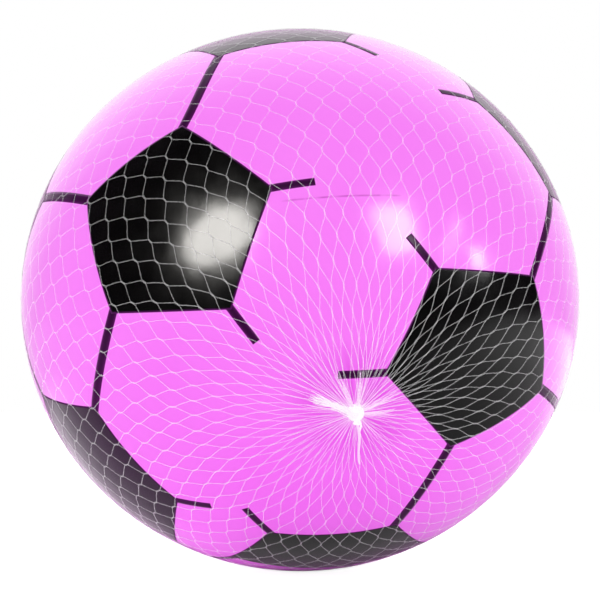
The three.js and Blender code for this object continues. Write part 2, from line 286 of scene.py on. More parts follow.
def ball_skin():
    """Rings round the valve's axis. Each ring has a reach along the surface from that axis and a depth under
    it: the outer wall from the far side to the lip, a quarter round for the lip, the wall of the hole, the
    boss, and the inner wall back to the far side."""
    far = np.pi * BALL_RADIUS
    round_lip = np.linspace(0, np.pi / 2, LIP_RINGS)
    reach = np.concatenate((
        np.linspace(far, HOLE_RADIUS + LIP_RADIUS, OUTER_RINGS)[:-1],
        HOLE_RADIUS + LIP_RADIUS * (1 - np.sin(round_lip)),
        (HOLE_RADIUS, BOSS_RADIUS - LIP_RADIUS, BOSS_RADIUS),
        np.linspace(BOSS_RADIUS + LIP_RADIUS, far, INNER_RINGS),
    ))
    depth = np.concatenate((
        np.zeros(OUTER_RINGS - 1),
        LIP_RADIUS * (1 - np.cos(round_lip)),
        (BOSS_DEPTH, BOSS_DEPTH, BOSS_DEPTH - LIP_RADIUS),
        np.full(INNER_RINGS, SKIN_WALL),
    ))
    turn = np.linspace(0, 2 * np.pi, SKIN_COLUMNS, endpoint=False)
    grid_reach, grid_turn = np.meshgrid(reach / BALL_RADIUS, turn, indexing="ij")
    valve_spot = unit(VALVE_AXIS * HALF_AXES)
    points = on_ball(around(valve_spot, grid_reach, grid_turn), -depth[:, None])
    return add_piece("ball_skin", points, [ring_faces(len(reach), SKIN_COLUMNS)], pink_vinyl(), closed=True)


skin = ball_skin()
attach(skin, "ball")
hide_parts("ball_shell")

# Football print: a film of glossy black ink, stamped on the skin from its left and its right. Each
# half has one pentagon at its pole and five in a ring, lines that join them, and short stubs that
# point at the other half. Corners that show in the picture are placed by its pixels.
FRAME_PIXELS = 600
LENS_PLACE = np.array((0.0, -0.9086, 0.0))
HALF_VIEW = 0.1310
PENTAGON_FILM = 0.00006
LINE_FILM = 0.000035
FILM_THICKNESS = 0.00005
STUB_WIDTH = 0.0030
JOIN_WIDTH = 0.0039
LINE_TUCK = 0.0022
PENTAGON_REACH = np.radians(21.3)
HIDDEN_RING = np.radians(58)
STUB_SHARE = 0.38
HIDDEN_TURNS = np.radians((144, -144))
FILM_RINGS = np.concatenate(((0.0, 0.024, 0.05), np.linspace(0.08, 1, 24)))
SIDE_POINTS = 32
LINE_POINTS = 41
LINE_SPREAD = np.array((-1, -0.5, 0, 0.5, 1))
LINE_EDGE = (1, 0.4, 0.28, 0.4, 1)
LEFT_POLE = unit(np.array((-0.930, 0.110, 0.336)))
RIGHT_POLE = unit(np.array((0.887, 0.200, -0.414)))
INK_BLACK = (0.0008, 0.0007, 0.0008, 1)
INK_WORN = (0.0025, 0.002, 0.0025, 1)
INK_EDGE = (0.10, 0.006, 0.11, 1)
# Purple tint of the ink towards the lower left
INK_LOW_LEFT_PURPLE = (0.031, 0.004, 0.034, 1)
LOW_LEFT_TOWARDS = (-0.72, -0.40, -0.57)
LOW_LEFT_PURPLE_RAMP = (0.088, 0.108, 0, 1)
WORN_CLOUDS = (45, 0, 1, 4, (0.45, 0.75))
INK_GLOSS = 0.5
LINE_GLOSS = 0.12
INK_ROUGHNESS = (90, 0.15, 0.23, 3)
INK_GRAIN = 500
INK_SHEEN = 0.50
INK_SHEEN_ROUGHNESS = 0.22
INK_SHEEN_PINK = (1.0, 0.35, 1.0, 1)

# Corners of the two pentagons that face the lens: the one towards the pole of its half, then on round
LEFT_FACE = ((87, 200), (182.5, 125.5), (272.7, 187.6), (231.5, 309.4), (111.6, 313.6))
RIGHT_FACE = ((541.8, 389.5), (449.8, 447), (384.6, 373), (434.5, 267.7), (533.3, 275.6))

# The near edge of the four pentagons on the rim, as two corners, with the first one's number in that order,
# then a pixel that the side behind each of the two corners passes
TOP_EDGE = ((345, 42.5), (217.5, 57), 3, (351.7, 35), (183, 53))
LEFT_LOW_EDGE = ((95, 407), (178, 500), 1, (41.7, 393), (176.7, 540))
BOTTOM_EDGE = ((268.5, 532), (396.5, 524), 3, (230, 556), (421.7, 541.7))
RIGHT_HIGH_EDGE = ((551.2, 197.2), (474.2, 100), 1, (560, 203), (468, 86))

# The bottom pentagon's left corner shows too, and a pixel of its side past that corner
BOTTOM_CORNER = (230, 556)
PAST_BOTTOM_CORNER = (289, 567)

# Ends of the stubs that show, by the pentagon's number in its ring and the number of its corner
LEFT_STUBS = {(0, 2): (315, 181.5), (0, 3): (256.5, 342), (1, 3): (377, 55.2), (4, 2): (211, 506)}
RIGHT_STUBS = {
    (0, 2): (338, 375),
    (0, 3): (408.5, 235.5),
    (1, 2): (205, 555),
    (1, 3): (245, 508.5),
    (4, 2): (440, 91.5),
}

# Where the lines that join two pentagons pass half way, by the pentagon's number in its ring
LEFT_MIDDLES = {0: (200.3, 91.4), 4: (101.7, 360)}
RIGHT_MIDDLES = {0: (424.5, 486.5), 4: (544.3, 236.8)}


def under_pixel(pixel):
    """Direction of the point of the ball that shows at a pixel. The ball is scaled to a unit sphere, and the
    nearer root of the quadratic for the length of the lens's ray is taken."""
    across, down = np.array(pixel) / FRAME_PIXELS * 2 - 1
    start = LENS_PLACE / HALF_AXES
    step = np.array((across * HALF_VIEW, 1.0, -down * HALF_VIEW)) / HALF_AXES
    half_slope = start @ step
    square = step @ step
    root = np.sqrt(max(half_slope**2 - square * (start @ start - 1), 0.0))
    return unit(start + step * (-half_slope - root) / square)


def under_pixels(table):
    """A table of pixels changed to the directions under them."""
    return {key: under_pixel(pixel) for key, pixel in table.items()}


def turned(pole, start, turn, reach):
    """Direction at an angle reach from a pole, on the bearing of start turned about the pole."""
    level = unit(start - pole * (start @ pole))
    level = level * np.cos(turn) + np.cross(pole, level) * np.sin(turn)
    return pole * np.cos(reach) + level * np.sin(reach)


def pentagon_on_edge(first, second, number, past_first, past_second):
    """Corners of the pentagon behind an edge. Half the edge over the sine of 36 degrees gives the sine of the
    corners' reach in a regular one, whose middle lies square to the edge, on the side away from the lens.
    The sides next to the edge are as long as it and pass the two pixels given."""
    first, second = under_pixel(first), under_pixel(second)
    middle = unit(first + second)
    corner_reach = np.arcsin(np.linalg.norm(second - first) / 2 / np.sin(np.pi / 5))
    edge_reach = np.arctan(np.tan(corner_reach) * np.cos(np.pi / 5))
    back = unit(np.cross(second - first, middle))
    back = back * np.sign(back[1])
    centre = middle * np.cos(edge_reach) + back * np.sin(edge_reach)
    hand = np.sign(np.cross(first, second) @ centre)
    turns = hand * np.arange(5) * 2 * np.pi / 5
    corners = np.array([turned(centre, first, turn, corner_reach) for turn in turns])
    side = np.arccos(first @ second)
    corners[2] = turned(second, under_pixel(past_second), 0.0, side)
    corners[4] = turned(first, under_pixel(past_first), 0.0, side)
    return np.roll(corners, number, axis=0)


def pentagon_round(centre, pole):
    """Corners of a regular pentagon round a centre, the first one towards its pole."""
    turns = -np.arange(5) * 2 * np.pi / 5
    return np.array([turned(centre, pole, turn, PENTAGON_REACH) for turn in turns])


def ring_of_five(pole, face, after, before):
    """The pentagons round a pole, in order: one that faces the lens, the one after it, two regular ones on
    the hidden side, and the one before the first."""
    centres = [turned(pole, face.mean(axis=0), turn, HIDDEN_RING) for turn in HIDDEN_TURNS]
    return [face, after, *[pentagon_round(centre, pole) for centre in centres], before]


def pentagon_film(corners):
    """Rings from the pentagon's edge to its middle: each point lies at a share between a point of the edge
    and the mean of the corners, carried out to the ball. The edge value is 1 on the outermost ring."""
    shares = FILM_RINGS[:, None, None]
    along = np.linspace(0, 1, SIDE_POINTS, endpoint=False)[None, :, None]
    middle = unit(corners.mean(axis=0))
    if np.cross(corners[0], corners[1]) @ middle < 0:
        corners = corners[::-1]
    sides = corners[:, None] * (1 - along) + np.roll(corners, -1, axis=0)[:, None] * along
    border = sides.reshape(1, -1, 3)
    points = on_ball(border * (1 - shares) + middle * shares, PENTAGON_FILM)
    edge = np.broadcast_to(shares[:, 0] == 0, points.shape[:2])
    return points, edge, ring_faces(*points.shape[:2])


def line_film(start, end, width, middle=None):
    """A strip between two directions: points of the chord, bent as a parabola through a middle if there is
    one, spread to both sides by half the width, and carried out to the ball. The edge value is 1 on the two
    outermost rows and low between."""
    along = np.linspace(0, 1, LINE_POINTS)[:, None, None]
    side = unit(np.cross(end, start))
    aside = side * (LINE_SPREAD * width / 2 / BALL_RADIUS)[:, None]
    half_way = (start + end) / 2
    bend = 0 if middle is None else middle * np.linalg.norm(half_way) - half_way
    path = start * (1 - along) + end * along + 4 * along * (1 - along) * bend
    points = on_ball(path + aside, LINE_FILM)
    edge = np.broadcast_to(LINE_EDGE, points.shape[:2])
    return points, edge, ring_faces(*points.shape[:2], closed=False)


def tucked_in(corners):
    """Corners moved towards the middle of their pentagon, so that the end of a line hides under its film."""
    inwards = unit(unit(corners.mean(axis=0)) - corners)
    return unit(corners + inwards * LINE_TUCK / BALL_RADIUS)


def half_print(pole, ring, stubs, middles):
    """All films of one half: its pentagons, the lines from each ring pentagon to the next and to the pole,
    and the stubs, which run on from a corner as far as their share of the way from the middle."""
    films = [pentagon_film(corners) for corners in ring]
    towards = np.array([turned(pole, corners[0], 0.0, PENTAGON_REACH) for corners in ring])
    films.append(pentagon_film(towards))
    hub = tucked_in(towards)
    for number, corners in enumerate(ring):
        tucked = tucked_in(corners)
        after = tucked_in(ring[(number + 1) % 5])
        middle = unit(corners.mean(axis=0))
        films.append(line_film(tucked[1], after[4], JOIN_WIDTH, middles.get(number)))
        films.append(line_film(tucked[0], hub[number], JOIN_WIDTH))
        for place in (2, 3):
            short_end = unit(corners[place] + (corners[place] - middle) * STUB_SHARE)
            films.append(line_film(tucked[place], stubs.get((number, place), short_end), STUB_WIDTH))
    return films


def black_ink():
    """Black ink with faint worn clouds. It is thinner and purple along its printed edges, and purple towards
    the lower left. The lines, whose edge value is nowhere 0, are more purple and duller than the pentagons."""
    material, shader, place = new_material("black_ink")
    black = blend(clouds(place, *WORN_CLOUDS), INK_BLACK, INK_WORN)
    low_left_purple = remap(distance_along(place, LOW_LEFT_TOWARDS), *LOW_LEFT_PURPLE_RAMP)
    black = blend(low_left_purple, black, INK_LOW_LEFT_PURPLE)
    edge = add_node(material.node_tree, "ShaderNodeAttribute", {}, attribute_name="edge").outputs["Fac"]
    feed(shader, {
        "Base Color": blend(edge, black, INK_EDGE),
        "Specular IOR Level": remap(edge, 0, min(LINE_EDGE), INK_GLOSS, LINE_GLOSS),
        "Roughness": clouds(place, *INK_ROUGHNESS),
        "Sheen Weight": INK_SHEEN,
        "Sheen Roughness": INK_SHEEN_ROUGHNESS,
        "Sheen Tint": INK_SHEEN_PINK,
    })
    skin_relief(shader, place, INK_GRAIN)
    return material


def add_print(name, films, material):
    """One half's films as one piece, each film given its thickness inwards."""
    sizes = [points.shape[0] * points.shape[1] for points, _, _ in films]
    firsts = np.cumsum([0] + sizes[:-1])
    points = np.concatenate([points.reshape(-1, 3) for points, _, _ in films])
    edge = np.concatenate([edge.ravel() for _, edge, _ in films]).astype(float)
    faces = [quads + first for (_, _, quads), first in zip(films, firsts)]
    piece = add_piece(name, points, faces, material)
    piece.data.attributes.new("edge", "FLOAT", "POINT").data.foreach_set("value", edge)
    weld(piece.data)
    film = piece.modifiers.new("film", "SOLIDIFY")
    film.thickness = FILM_THICKNESS
    film.offset = -1
    return piece


face_left = np.array([under_pixel(pixel) for pixel in LEFT_FACE])
face_right = np.array([under_pixel(pixel) for pixel in RIGHT_FACE])
bottom = pentagon_on_edge(*BOTTOM_EDGE)
bottom[2] = under_pixel(BOTTOM_CORNER)
bottom_side = np.arccos(bottom[3] @ bottom[4])
bottom[1] = turned(bottom[2], under_pixel(PAST_BOTTOM_CORNER), 0.0, bottom_side)
left_ring = ring_of_five(LEFT_POLE, face_left, pentagon_on_edge(*TOP_EDGE), pentagon_on_edge(*LEFT_LOW_EDGE))
right_ring = ring_of_five(RIGHT_POLE, face_right, bottom, pentagon_on_edge(*RIGHT_HIGH_EDGE))
ink = black_ink()
for half_name, half_pole, half_ring, half_stubs, half_middles in (
    ("print_left", LEFT_POLE, left_ring, LEFT_STUBS, LEFT_MIDDLES),
    ("print_right", RIGHT_POLE, right_ring, RIGHT_STUBS, RIGHT_MIDDLES),
):
    half_films = half_print(half_pole, half_ring, under_pixels(half_stubs), under_pixels(half_middles))
    half = add_print(half_name, half_films, ink)
    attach(half, "ball")

# Valve: a soft pale bush welded into the hole, whose bore tapers, and a white stopper pushed into it.
# Both are moulded round one axis, so each is a rounded profile of radius and height turned about it.
VALVE_COLUMNS = 96
SEAT_SOFTNESS = 0.0003
PLUG_SOFTNESS = 0.0004
SEAT_PROFILE = 0.001 * np.array((
    (3.4, -13.3), (4.0, -13.3), (4.6, -4.1), (9.5, -4.1), (9.5, -2.7), (5.0, -2.7), (5.0, -0.15),
    (4.3, -0.15), (4.3, -1.05), (2.3, -1.05), (1.85, -13.3), (3.4, -13.3),
))
PLUG_PROFILE = 0.001 * np.array((
    (0, -9.75), (1.3, -9.75), (1.75, -8.95), (2.0, -0.75), (4.0, -0.75), (4.0, 0.55), (1.9, 0.55),
    (1.4, 0.25), (0, 0.25),
))
SEAT_PINK = (0.90, 0.50, 0.90, 1)
SEAT_DEEP = (0.84, 0.42, 0.84, 1)
PLUG_WHITE = (0.84, 0.81, 0.84, 1)
PLUG_DUSTY = (0.74, 0.70, 0.73, 1)
SEAT_ROUGHNESS = (900, 0.38, 0.50)
SEAT_GRAIN = 0.00003
PLUG_ROUGHNESS = (900, 0.35, 0.47)
PLUG_GRAIN = 0.00002
MOULD_CLOUDS = (300, 0, 1, 3, (0.35, 0.65))
MOULD_GRAINS = 2500
CORNER_POINTS = 6


def rounded(profile, softness):
    """A profile with its corners rounded: each corner becomes a parabola between points at the softness, or
    a third of the side if that is less, before it and after it."""
    before, corner, after = profile[:-2], profile[1:-1], profile[2:]
    lengths = np.linalg.norm(np.diff(profile, axis=0), axis=1)[:, None]
    cut = np.minimum(softness, lengths / 3)
    start = corner + unit(before - corner) * cut[:-1]
    end = corner + unit(after - corner) * cut[1:]
    share = np.linspace(0, 1, CORNER_POINTS)[None, :, None]
    curve = start[:, None] * (1 - share)**2 + end[:, None] * share**2
    curve += corner[:, None] * 2 * share * (1 - share)
    return np.concatenate((profile[:1], curve.reshape(-1, 2), profile[-1:]))


def turned_on_valve(name, profile, material):
    """A profile turned about the valve's axis: the foot of the axis on the ball, plus the radius along each
    bearing, plus the height along the axis."""
    foot = on_ball(VALVE_AXIS * HALF_AXES)
    turn = np.linspace(0, 2 * np.pi, VALVE_COLUMNS, endpoint=False)
    radius, height = profile[:, None, :1], profile[:, None, 1:]
    points = foot + radius * bearing_at(VALVE_AXIS, turn) + height * VALVE_AXIS
    return add_piece(name, points, [ring_faces(len(profile), VALVE_COLUMNS)], material, closed=True)


def moulded(name, colour, shaded, roughness, grain):
    """Moulded plastic: clouds between two shades, a fine grain and an uneven gloss."""
    material, shader, place = new_material(name)
    feed(shader, {
        "Base Color": blend(clouds(place, *MOULD_CLOUDS), shaded, colour),
        "Roughness": clouds(place, *roughness),
    })
    bump(shader, noise(place, MOULD_GRAINS, 3), grain)
    return material


seat_vinyl = moulded("seat_vinyl", SEAT_PINK, SEAT_DEEP, SEAT_ROUGHNESS, SEAT_GRAIN)
seat = turned_on_valve("valve_bush", rounded(SEAT_PROFILE, SEAT_SOFTNESS), seat_vinyl)
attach(seat, "ball")
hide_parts("valve_seat")
plug_plastic = moulded("plug_plastic", PLUG_WHITE, PLUG_DUSTY, PLUG_ROUGHNESS, PLUG_GRAIN)
plug = turned_on_valve("valve_stopper", rounded(PLUG_PROFILE, PLUG_SOFTNESS), plug_plastic)
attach(plug, "plug")
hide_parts("valve_plug")

# Net: a knitted sleeve of clear white thread, pulled over the ball and drawn together at both ends.
# Each thread zigzags from end to end. It lies beside its left and its right neighbour by turns, and
# the doubled lengths are the pillars of a hexagonal mesh.
GATHER_AXIS = unit(np.array(GATHER_TOWARDS))
CELLS_ROUND = 60
ROW_AT_GATHER = 0.00915
ROW_AT_WIDEST = 0.0067
FIRST_ROW = 0.083
PILLAR_LENGTH = 0.0024
NET_TURN = 2.442
NET_TWIST = 0.094
PULL_ASIDE = 0.089
PULL_ROWS = 0.43
LEAN_ASIDE = 0.112
LEAN_ROWS = 0.81
LEAN_BEARING = np.radians(105)
LEAN_REACH = 0.8
NECK_RADIUS = 0.0012
THREAD_RADIUS = 0.000145
ALPHA_RAMP = (0.062, 0.090, 0.135, 0.18)
LOW_LEFT_RAMP = (0.080, 0.105, 1, 1.5)
THREAD_CLEARANCE = 0.00009
PILLAR_SPREAD = 0.00013
PILLAR_SWELL = 0.25
LEG_CONTRAST = 0.10
LEG_SOFTNESS = 0.15
ROW_STEPS = np.array((0.0, 0.13, 0.20, 0.5, 0.80, 0.87))
THREAD_SIDES = 6
VALVE_WINDOW = 0.0062
SLACK = 0.0002
KINKS = 0.00030
BUNCH_HEIGHT = 0.0016
BUNCH_WIDTH = 0.006
LAYER_HEIGHT = 0.0009
STREAK_WIDTH = 0.020
STREAKS = ((6, 0.20), (11, 0.20))
FRONT_OPENINGS = ((np.radians(100), 0.25), (np.radians(-27), 0.13))
REAR_OPENINGS = ((np.radians(250), 0.18), (np.radians(60), 0.12))
THREAD_WHITE = (0.98, 0.97, 0.98, 1)
# Painted grey shade in the twist's grooves
THREAD_GROOVE_SHADE = (0.92, 0.91, 0.92, 1)
TWIST_PITCH = 0.0012
TWIST_DEPTH = 0.00004
FUZZ = (1500, 0.7, 1)
THREAD_ROUGHNESS = (800, 0.35, 0.5)
THREAD_GLOSS = 0.25
THREAD_SHEEN = 0.90
REACH_STEPS = 4000
SETTLING_STEPS = 8
UNEVEN_START = 3
UNEVEN_ROWS = 27
UNEVEN_END = 8
SPREAD_LIMIT = 0.4
SWELL_REACH = 1.6
CALM_FROM = 0.010
CALM_OVER = 0.02
OPENING_SOFTNESS = 0.06
STREAK_SCATTER = 0.03

# Waves of the slack and of the kinks, along the net and aside: number round, number along and phase
SLACK_ALONG = ((3, 2.3, 0.4), (5, -4.1, 1.9), (2, 7.7, 4.0))
KINKS_ALONG = ((17, 13, 0.3), (29, -21, 2.0), (11, 37, 5.0))
SLACK_ASIDE = ((4, 3.1, 2.2), (3, -6.3, 5.1), (6, 2.9, 0.7))
KINKS_ASIDE = ((19, -17, 1.3), (23, 27, 3.0), (13, -35, 0.6))


def white_thread(name, colour, shaded, clear=False):
    """Twisted thread: stripes that wind round it, as a sine of the length over the pitch plus the turn round
    the thread, light on the crest and a painted grey shade in the groove, mixed with random fuzz. The lay
    attribute holds that length, then the cosine and the sine of the turn. Clear thread shows less far from
    the gathers and more at the lower left."""
    material, shader, place = new_material(name)
    lay = add_node(material.node_tree, "ShaderNodeAttribute", {}, attribute_name="lay").outputs["Vector"]
    parts = add_node(lay.id_data, "ShaderNodeSeparateXYZ", {"Vector": lay}).outputs
    wound = product(parts["X"], 2 * np.pi / TWIST_PITCH)
    sine = product(calculate("SINE", wound), parts["Y"])
    cosine = product(calculate("COSINE", wound), parts["Z"])
    crest = remap(calculate("ADD", sine, cosine), -1, 1, 0, 1)
    # Painted shade: grey in the twist's groove, mixed with random fuzz
    light = product(crest, clouds(place, *FUZZ))
    feed(shader, {
        "Base Color": blend(light, shaded, colour),
        "Roughness": clouds(place, *THREAD_ROUGHNESS),
        "Specular IOR Level": THREAD_GLOSS,
        "Sheen Weight": THREAD_SHEEN,
    })
    if clear:
        along = calculate("ABSOLUTE", distance_along(place, GATHER_TOWARDS))
        alpha = remap(along, *ALPHA_RAMP)
        low_left = remap(distance_along(place, LOW_LEFT_TOWARDS), *LOW_LEFT_RAMP)
        feed(shader, {"Alpha": product(alpha, low_left)})
    bump(shader, crest, TWIST_DEPTH)
    return material


def add_threads(name, paths, radii, sides, material, upright=None):
    """Tubes round several paths at once. A ring of corners stands round each point, at the radius along the
    two directions that are square to the path: one level with the ball and one away from it. Clear thread
    passes the light on, so it shades nothing."""
    along = unit(np.gradient(paths, axis=1))
    upright = unit(paths / HALF_AXES**2) if upright is None else upright
    side = unit(np.cross(upright, along))
    away = np.cross(along, side)
    turn = np.linspace(0, 2 * np.pi, sides, endpoint=False)[:, None]
    ring = side[:, :, None] * np.cos(turn) + away[:, :, None] * np.sin(turn)
    points = paths[:, :, None] + ring * radii[:, :, None, None]
    count, length = paths.shape[:2]
    firsts = np.arange(count)[:, None, None] * length * sides
    walls = (ring_faces(length, sides)[None] + firsts).reshape(-1, 4)
    start_cap = np.arange(sides)[::-1][None] + firsts[:, 0]
    end_cap = np.arange(sides)[None] + (length - 1) * sides + firsts[:, 0]
    piece = add_piece(name, points, [walls, start_cap, end_cap], material)
    steps = np.linalg.norm(np.diff(paths, axis=1), axis=2)
    run = np.concatenate((np.zeros((count, 1)), np.cumsum(steps, axis=1)), axis=1)
    lay = np.empty(points.shape)
    lay[..., 0] = run[:, :, None]
    lay[..., 1:] = np.concatenate((np.cos(turn), np.sin(turn)), axis=1)
    piece.data.attributes.new("lay", "FLOAT_VECTOR", "POINT").data.foreach_set("vector", lay.ravel())
    piece.visible_diffuse = False
    piece.visible_shadow = False
    return piece


def smooth(value):
    """A ramp from 0 to 1 that starts and ends level: three times the square less twice the cube."""
    value = np.clip(value, 0, 1)
    return value * value * (3 - 2 * value)


def ripple(reach, turn, waves):
    """A smooth uneven field from -1 to 1: the mean of sines of the turn and the reach, each times its own
    number of waves, plus its phase."""
    return sum(np.sin(m * turn + n * reach + phase) for m, n, phase in waves) / len(waves)


def parted(turn, openings):
    """How far the turns move out of each opening: its size times the offset over the offset plus a softness,
    fading out with the square of twice the offset."""
    moved = np.zeros(turn.shape)
    for middle, size in openings:
        offset = (turn - middle + np.pi) % (2 * np.pi) - np.pi
        moved += size * offset / (np.abs(offset) + OPENING_SOFTNESS) * np.exp(-(2 * offset)**2)
    return moved


def net_rows():
    """Rows of mesh between the front gather and each reach. A row's height goes from the gather's to that at
    the widest ring by the square of the cosine of the reach, and the rows are added up along it."""
    reach = np.linspace(NECK_RADIUS, np.pi * BALL_RADIUS - NECK_RADIUS, REACH_STEPS) / BALL_RADIUS
    height = ROW_AT_WIDEST + (ROW_AT_GATHER - ROW_AT_WIDEST) * np.cos(reach)**2
    return reach, height, np.cumsum(BALL_RADIUS / height) * (reach[1] - reach[0])


def on_net(columns, rows):
    """Reach and turn of places on the net. The mesh lies unevenly: rows and columns shift by the cosine of
    the turn, and by the cosine of the turn from the lean's bearing times the hyperbolic tangent of the reach
    past the lean's. The reach depends on the shift, so both settle by repeating."""
    reach_steps, _, row_steps = net_rows()
    even = columns * 2 * np.pi / CELLS_ROUND
    pull = -np.cos(even)
    lean = np.cos(even - LEAN_BEARING)
    passed = rows + 0 * even
    for _ in range(SETTLING_STEPS):
        reach = np.interp(passed, row_steps, reach_steps)
        tilt = np.tanh(reach - LEAN_REACH)
        free = smooth(passed / UNEVEN_START) * smooth((UNEVEN_ROWS - passed) / UNEVEN_END)
        passed = rows - free * (PULL_ROWS * pull + LEAN_ROWS * tilt * lean)
    turn = even + NET_TURN + NET_TWIST * tilt + PULL_ASIDE * pull + LEAN_ASIDE * tilt * lean
    return reach, turn


def net_threads(hand, rng):
    """Paths and radii of the threads that first swing to one hand. A thread keeps its column at even rows and
    swings half a cell aside by the next row, level along the pillars and straight along the legs. Near a
    gather the turns close up into streaks and the threads climb on each other."""
    reach_steps, height_steps, row_steps = net_rows()
    rows = (np.arange(np.ceil(row_steps[-1]) + 1)[:, None] + ROW_STEPS).ravel()
    rows = rows[(rows > FIRST_ROW) & (rows < FIRST_ROW + row_steps[-1])]
    plain_reach = np.interp(rows - FIRST_ROW, row_steps, reach_steps)
    half_cell = np.pi * BALL_RADIUS * np.sin(plain_reach) / CELLS_ROUND
    flat = PILLAR_LENGTH / 2 / np.interp(plain_reach, reach_steps, height_steps)
    share = rows - np.floor(rows)
    odd = np.floor(rows) % 2
    ramp = np.clip((share - flat) / (1 - 2 * flat), 0, 1)
    ramp = ramp * (1 - LEG_SOFTNESS) + smooth(ramp) * LEG_SOFTNESS
    swing = np.where(odd == 1, 1 - ramp, ramp)
    apart = np.minimum(PILLAR_SPREAD / half_cell, SPREAD_LIMIT)
    swing = swing * (1 - 2 * apart) + apart
    columns = np.arange(CELLS_ROUND)[:, None] + hand * swing / 2
    reach, turn = on_net(columns, rows - FIRST_ROW)
    to_pole = np.minimum(reach, np.pi - reach) * BALL_RADIUS
    calm = smooth((to_pole - CALM_FROM) / CALM_OVER) / BALL_RADIUS
    along = ripple(reach, turn, SLACK_ALONG) * SLACK + ripple(reach, turn, KINKS_ALONG) * KINKS
    aside = ripple(reach, turn, SLACK_ASIDE) * SLACK + ripple(reach, turn, KINKS_ASIDE) * KINKS
    turn = turn + aside * calm / np.sin(reach)
    reach = reach + along * calm
    near = np.exp(-(to_pole / STREAK_WIDTH)**2)
    drawn = np.where(reach < np.pi / 2, parted(turn, FRONT_OPENINGS), parted(turn, REAR_OPENINGS))
    drawn += sum(size / waves * np.sin(waves * turn) for waves, size in STREAKS)
    turn = turn + near * (drawn + rng.normal(0, STREAK_SCATTER, (CELLS_ROUND, 1)))
    middle = np.abs(share - np.round(share)) / flat
    swell = PILLAR_SWELL * np.clip(SWELL_REACH - middle, 0, 1)
    radii = THREAD_RADIUS * (1 + swell + LEG_CONTRAST * hand * (1 - 2 * odd) * np.clip(middle - 1, 0, 1))
    radii = np.broadcast_to(radii, turn.shape)
    layer = rng.uniform(0, LAYER_HEIGHT, (CELLS_ROUND, 1)) * np.exp(-(to_pole / (2 * BUNCH_WIDTH))**2)
    lift = radii + THREAD_CLEARANCE + layer + BUNCH_HEIGHT * np.exp(-(to_pole / BUNCH_WIDTH)**2)
    paths = on_ball(clear_of_valve(around(GATHER_AXIS, reach, turn)), lift)
    return paths, radii


def clear_of_valve(directions):
    """Directions pushed aside so that a cell of the net stands round the valve: the offset from its axis
    becomes the fourth root of its fourth power plus the window's."""
    axis = unit(VALVE_AXIS * HALF_AXES)
    height = directions @ axis
    aside = directions - axis * height[..., None]
    offset = np.linalg.norm(aside, axis=-1)
    pushed = (offset**4 + (VALVE_WINDOW / BALL_RADIUS)**4)**0.25
    grown = np.where(height > 0.5, pushed / np.maximum(offset, 1e-9), 1)
    return unit(axis * height[..., None] + aside * grown[..., None])


rng = np.random.default_rng(7)
net_white = white_thread("net_thread", THREAD_WHITE, THREAD_GROOVE_SHADE, clear=True)
for net_name, net_hand in (("net_threads_right", -1), ("net_threads_left", 1)):
    net = add_threads(net_name, *net_threads(net_hand, rng), THREAD_SIDES, net_white)
    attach(net, "ball")
    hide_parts("net_sleeve")

# Gathers: the net's end is drawn into folds at a neck, and past the tie its cut threads fold over onto
# the ball as a tuft. The tie is a thicker white thread, wound round the neck and knotted, with a long
# end and a short one left hanging.
FOLD_THREADS = 24
FOLD_POINTS = 14
FOLD_LENGTH = 0.0046
FOLD_FOOT = 0.0003
FRONT_BUNDLES = ((115.5, 0.017), (85.5, 0.016), (20, 0.018), (-2, 0.015))
REAR_BUNDLES = ((265, 0.015), (240, 0.014), (80, 0.016), (50, 0.012), (150, 0.011), (330, 0.010))
BUNDLE_THREADS = 13
BUNDLE_SPREAD = 0.06
TUFT_THREADS = 120
TUFT_POINTS = 18
TUFT_LENGTH = 0.0180
TUFT_ROOT = 0.0016
TUFT_WIDTH = 0.0011
TUFT_TOP = 0.0030
TUFT_LOW = 0.0008
TUFT_LAYERS = 0.0010
TUFT_THREAD = 0.00013
FOLD_THREAD = 0.00009
TIE_RADIUS = 0.00042
TIE_TURNS = 7.3
TIE_RING = 0.0028
TIE_FOOT = 0.0006
TIE_RISE = 0.0034
LONG_END = 0.0185
SHORT_END = 0.0060
KNOT_SIZE = 0.0008
TIE_WHITE = (0.98, 0.98, 0.98, 1)
# Painted grey shade in the tie's twist grooves
TIE_GROOVE_SHADE = (0.94, 0.93, 0.94, 1)
# The tuft, the folds and the tie's long end are white thread with pink painted in, for the ball's pink light
# that shows through them, and painted shade in their grooves
TUFT_WHITE = (0.98, 0.95, 0.98, 1)
TUFT_PINK_GROOVE_SHADE = (0.96, 0.84, 0.96, 1)
FOLD_PINK_LIGHT = (0.98, 0.70, 0.98, 1)
FOLD_PINK_GROOVE_SHADE = (0.96, 0.60, 0.96, 1)
FOLD_SHARES = (0.5, 1.0)
FOLD_HEIGHTS = (0.3, 1.0)
FOLD_BEND = 0.0005
FOLD_WAVE = 4
THREAD_TAPER = 0.5
LOOSE_SIDES = 5
TUFT_SHORTEST = 0.35
TUFT_CROWDING = 1.8
TUFT_CURL = 1.3
TUFT_FOLDED = 0.45
TUFT_FLARES = ((0.45, 0.0, 0.2), (0.75, 0.45, 0.55))
TUFT_WAVE = 0.0004
TUFT_WAVES = (4, 9)
TUFT_PHASES = (0, 6)
TUFT_FLATTEST = 0.4
HUMP_AT = 0.16
HUMP_FALL = 0.4
TIE_POINTS = 260
TIE_SIDES = 8
TIE_DOME = 0.48 * np.pi
TIE_BULGE = 0.7
KNOT_POINTS = 72
KNOT_DEPTH = 1.2
END_POINTS = 60
END_DROP = 0.4
END_SWING = 0.0005
END_WAVE = 5.5
SHORT_TURN = 0.06
SHORT_ASIDE = 0.0006
SIDE_LEAN = 0.35

# Bearings of the tuft and of the tie's ends
FRONT_TURNS = np.radians((161, -79.5))
REAR_TURNS = np.radians((40, -100))

